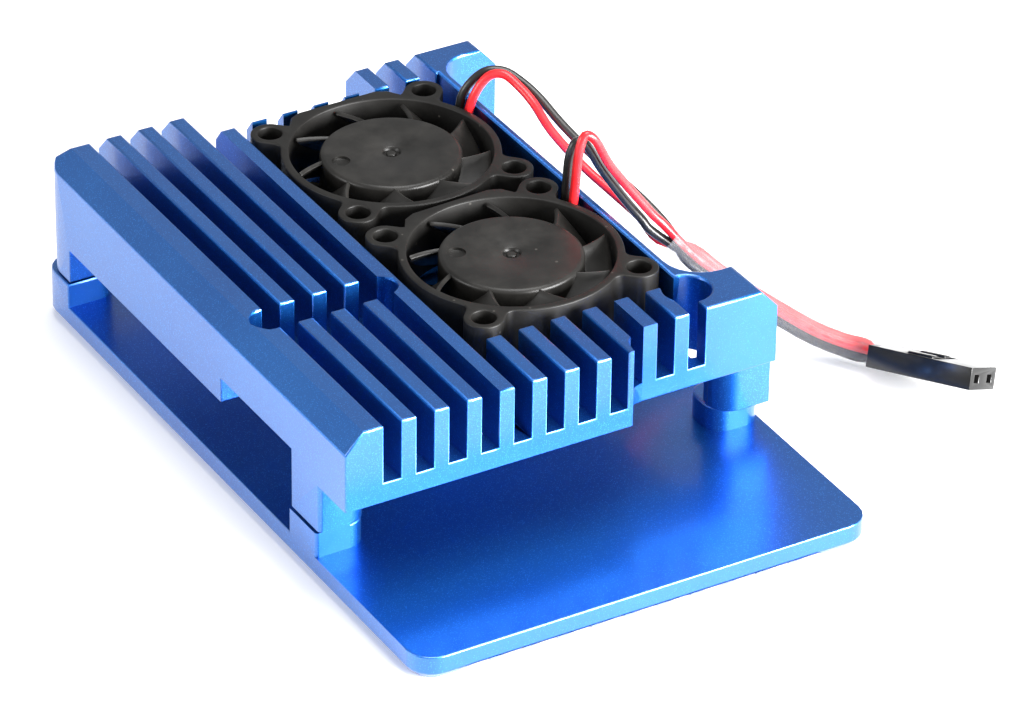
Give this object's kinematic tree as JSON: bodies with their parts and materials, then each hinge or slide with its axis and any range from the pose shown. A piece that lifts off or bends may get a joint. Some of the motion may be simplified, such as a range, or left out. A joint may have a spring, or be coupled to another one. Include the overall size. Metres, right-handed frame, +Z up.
{
  "type": "single board computer heatsink case",
  "caption": "Two-part finned metal case for a small single board computer, with cooling fans set in its top and leads ending in a two-way plug",
  "frame": {"origin": "centre of the base plate's underside", "axes": "+X along the case towards its open connector end, +Y across it towards the pin-header side, +Z up"},
  "size_m": [0.087, 0.0835, 0.0302],
  "materials": {
    "blue_anodised": "bead-blasted blue anodised aluminium with bright machined edges",
    "screw_steel": "plated steel",
    "fan_plastic": "matte black moulded plastic, glossier on the hub rim",
    "bonded_magnet": "dark bonded ferrite",
    "sintered_bronze": "oiled sintered bronze",
    "electrical_steel": "stacked steel laminations",
    "enamelled_copper": "enamelled copper wire",
    "circuit_laminate": "green circuit laminate",
    "foam_tape": "dark double-sided foam tape",
    "red_sheath": "red PVC insulation",
    "black_sheath": "black PVC insulation",
    "clear_shrink": "clear heat-shrink tubing",
    "plug_plastic": "black moulded plastic",
    "tinned_contact": "tinned spring contact"
  },
  "bodies": {
    "case": {"base_plate": "blue_anodised", "heatsink_shell": "blue_anodised", "case_screw_rear_left": "screw_steel", "case_screw_rear_right": "screw_steel", "case_screw_front_left": "screw_steel", "case_screw_front_right": "screw_steel", "rear_fan_frame": "fan_plastic", "rear_bearing_sleeve": "sintered_bronze", "rear_motor_board": "circuit_laminate", "rear_stator_core": "electrical_steel", "rear_stator_coil_1": "enamelled_copper", "rear_stator_coil_2": "enamelled_copper", "rear_stator_coil_3": "enamelled_copper", "rear_stator_coil_4": "enamelled_copper", "rear_fan_tape": "foam_tape", "rear_red_wire": "red_sheath", "rear_black_wire": "black_sheath", "front_fan_frame": "fan_plastic", "front_bearing_sleeve": "sintered_bronze", "front_motor_board": "circuit_laminate", "front_stator_core": "electrical_steel", "front_stator_coil_1": "enamelled_copper", "front_stator_coil_2": "enamelled_copper", "front_stator_coil_3": "enamelled_copper", "front_stator_coil_4": "enamelled_copper", "front_fan_tape": "foam_tape", "front_red_wire": "red_sheath", "front_black_wire": "black_sheath", "shrink_sleeve": "clear_shrink", "plug_housing": "plug_plastic", "plug_contact_near": "tinned_contact", "plug_contact_far": "tinned_contact"},
    "rear_rotor": {"rear_fan_rotor": "fan_plastic", "rear_magnet_ring": "bonded_magnet", "rear_shaft": "screw_steel"},
    "front_rotor": {"front_fan_rotor": "fan_plastic", "front_magnet_ring": "bonded_magnet", "front_shaft": "screw_steel"}
  },
  "joints": [
    {"name": "rear_fan_spin", "type": "hinge", "parent": "case", "child": "rear_rotor", "pos_m": [-0.0225, 0.00555, 0.0149], "axis": [0, 0, 1], "continuous": true},
    {"name": "front_fan_spin", "type": "hinge", "parent": "case", "child": "front_rotor", "pos_m": [0.00345, 0.006, 0.01525], "axis": [0, 0, 1], "continuous": true}
  ]
}
